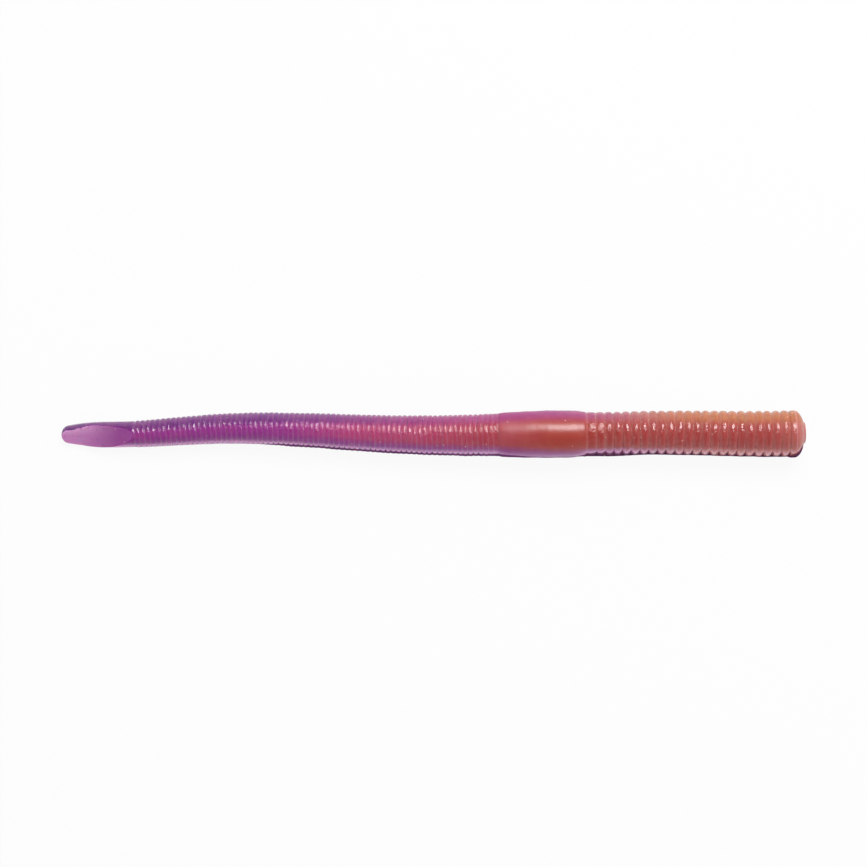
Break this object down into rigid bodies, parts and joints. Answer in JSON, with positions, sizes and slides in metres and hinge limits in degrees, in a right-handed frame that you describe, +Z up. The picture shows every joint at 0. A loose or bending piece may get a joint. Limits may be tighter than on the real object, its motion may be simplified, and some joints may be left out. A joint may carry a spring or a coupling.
{
  "type": "soft plastic worm",
  "caption": "Soft plastic fishing worm with ringed front and rear, a smooth saddle and a scooped paddle tail; a coral core shows through purple skin and the body bends along its length.",
  "frame": {"origin": "middle of the outer box, on the surface that the belly lies on", "axes": "+X along the body towards the nose, +Y to the left of the nose, +Z up"},
  "size_m": [0.1525, 0.0096, 0.009],
  "materials": {
    "purple_skin": "glossy translucent purple plastisol",
    "rose_skin": "glossy translucent purple plastisol, thin over the coral core",
    "coral_core": "coral plastisol with red flecks"
  },
  "bodies": {
    "saddle": {"saddle_sleeve": "rose_skin", "saddle_core": "coral_core"},
    "front_1": {"front_flex_ring_1": "rose_skin", "front_rings_1": "rose_skin", "front_core_1": "coral_core"},
    "front_2": {"front_flex_ring_2": "rose_skin", "front_rings_2": "rose_skin", "front_core_2": "coral_core"},
    "front_3": {"front_flex_ring_3": "rose_skin", "front_rings_3": "rose_skin", "front_core_3": "coral_core"},
    "front_4": {"front_flex_ring_4": "rose_skin", "front_rings_4": "rose_skin", "front_core_4": "coral_core"},
    "nose": {"front_flex_ring_5": "rose_skin", "nose_rings": "rose_skin", "nose_core": "coral_core", "nose_cap": "coral_core"},
    "rear_1": {"rear_flex_ring_1": "purple_skin", "rear_rings_1": "purple_skin", "rear_core_1": "coral_core"},
    "rear_2": {"rear_flex_ring_2": "purple_skin", "rear_rings_2": "purple_skin", "rear_core_2": "coral_core"},
    "rear_3": {"rear_flex_ring_3": "purple_skin", "rear_rings_3": "purple_skin", "rear_core_3": "coral_core"},
    "rear_4": {"rear_flex_ring_4": "purple_skin", "rear_rings_4": "purple_skin", "rear_core_4": "coral_core"},
    "rear_5": {"rear_flex_ring_5": "purple_skin", "rear_rings_5": "purple_skin", "rear_core_5": "coral_core"},
    "rear_6": {"rear_flex_ring_6": "purple_skin", "rear_rings_6": "purple_skin", "rear_core_6": "coral_core"},
    "rear_7": {"rear_flex_ring_7": "purple_skin", "rear_rings_7": "purple_skin", "rear_core_7": "coral_core"},
    "rear_8": {"rear_flex_ring_8": "purple_skin", "rear_rings_8": "purple_skin"},
    "rear_9": {"rear_flex_ring_9": "purple_skin", "rear_rings_9": "purple_skin"},
    "rear_10": {"rear_flex_ring_10": "purple_skin", "rear_rings_10": "purple_skin"},
    "tail": {"rear_flex_ring_11": "purple_skin", "tail_paddle": "purple_skin"}
  },
  "joints": [
    {"name": "front_sway_1", "type": "hinge", "parent": "saddle", "child": "front_1", "pos_m": [0.03163, 0.0001, 0.00411], "axis": [0, 0, 1], "range_deg": [-16, 16], "stiffness_Nm_per_rad": 0.00161, "deforming": ["front_flex_ring_1"]},
    {"name": "front_lift_2", "type": "hinge", "parent": "front_1", "child": "front_2", "pos_m": [0.04068, 0.00025, 0.0041], "axis": [0, -1, 0], "range_deg": [-16, 16], "stiffness_Nm_per_rad": 0.00172, "deforming": ["front_flex_ring_2"]},
    {"name": "front_sway_3", "type": "hinge", "parent": "front_2", "child": "front_3", "pos_m": [0.04973, 0.00029, 0.00418], "axis": [0, 0, 1], "range_deg": [-16, 16], "stiffness_Nm_per_rad": 0.00184, "deforming": ["front_flex_ring_3"]},
    {"name": "front_lift_4", "type": "hinge", "parent": "front_3", "child": "front_4", "pos_m": [0.05878, 0.00019, 0.00426], "axis": [0, -1, 0], "range_deg": [-16, 16], "stiffness_Nm_per_rad": 0.00196, "deforming": ["front_flex_ring_4"]},
    {"name": "front_sway_5", "type": "hinge", "parent": "front_4", "child": "nose", "pos_m": [0.06783, 0.00006, 0.00433], "axis": [0, 0, 1], "range_deg": [-16, 16], "stiffness_Nm_per_rad": 0.00209, "deforming": ["front_flex_ring_5"]},
    {"name": "rear_lift_1", "type": "hinge", "parent": "saddle", "child": "rear_1", "pos_m": [0.01281, -0.00009, 0.00411], "axis": [0, 1, 0], "range_deg": [-14, 14], "stiffness_Nm_per_rad": 0.00173, "deforming": ["rear_flex_ring_1"]},
    {"name": "rear_sway_2", "type": "hinge", "parent": "rear_1", "child": "rear_2", "pos_m": [0.00549, -0.00018, 0.00374], "axis": [0, 0, -1], "range_deg": [-16, 16], "stiffness_Nm_per_rad": 0.00151, "deforming": ["rear_flex_ring_2"]},
    {"name": "rear_lift_3", "type": "hinge", "parent": "rear_2", "child": "rear_3", "pos_m": [-0.00182, -0.00016, 0.00359], "axis": [0, 1, 0], "range_deg": [-16, 16], "stiffness_Nm_per_rad": 0.0013, "deforming": ["rear_flex_ring_3"]},
    {"name": "rear_sway_4", "type": "hinge", "parent": "rear_3", "child": "rear_4", "pos_m": [-0.00914, 0.00006, 0.00344], "axis": [0, 0, -1], "range_deg": [-18, 18], "stiffness_Nm_per_rad": 0.00112, "deforming": ["rear_flex_ring_4"]},
    {"name": "rear_lift_5", "type": "hinge", "parent": "rear_4", "child": "rear_5", "pos_m": [-0.01645, 0.0004, 0.00329], "axis": [0, 1, 0], "range_deg": [-18, 18], "stiffness_Nm_per_rad": 0.00096, "deforming": ["rear_flex_ring_5"]},
    {"name": "rear_sway_6", "type": "hinge", "parent": "rear_5", "child": "rear_6", "pos_m": [-0.02377, 0.00076, 0.00314], "axis": [0, 0, -1], "range_deg": [-18, 18], "stiffness_Nm_per_rad": 0.000816, "deforming": ["rear_flex_ring_6"]},
    {"name": "rear_lift_7", "type": "hinge", "parent": "rear_6", "child": "rear_7", "pos_m": [-0.03108, 0.00106, 0.00298], "axis": [0, 1, 0], "range_deg": [-20, 20], "stiffness_Nm_per_rad": 0.000689, "deforming": ["rear_flex_ring_7"]},
    {"name": "rear_sway_8", "type": "hinge", "parent": "rear_7", "child": "rear_8", "pos_m": [-0.0384, 0.0012, 0.00283], "axis": [0, 0, -1], "range_deg": [-20, 20], "stiffness_Nm_per_rad": 0.000577, "deforming": ["rear_flex_ring_8"]},
    {"name": "rear_lift_9", "type": "hinge", "parent": "rear_8", "child": "rear_9", "pos_m": [-0.04571, 0.001, 0.00268], "axis": [0, 1, 0], "range_deg": [-20, 20], "stiffness_Nm_per_rad": 0.00048, "deforming": ["rear_flex_ring_9"]},
    {"name": "rear_sway_10", "type": "hinge", "parent": "rear_9", "child": "rear_10", "pos_m": [-0.05303, 0.00051, 0.00253], "axis": [0, 0, -1], "range_deg": [-22, 22], "stiffness_Nm_per_rad": 0.000395, "deforming": ["rear_flex_ring_10"]},
    {"name": "rear_lift_11", "type": "hinge", "parent": "rear_10", "child": "tail", "pos_m": [-0.06034, 0.00005, 0.00238], "axis": [0, 1, 0], "range_deg": [-22, 22], "stiffness_Nm_per_rad": 0.000322, "deforming": ["rear_flex_ring_11"]}
  ]
}
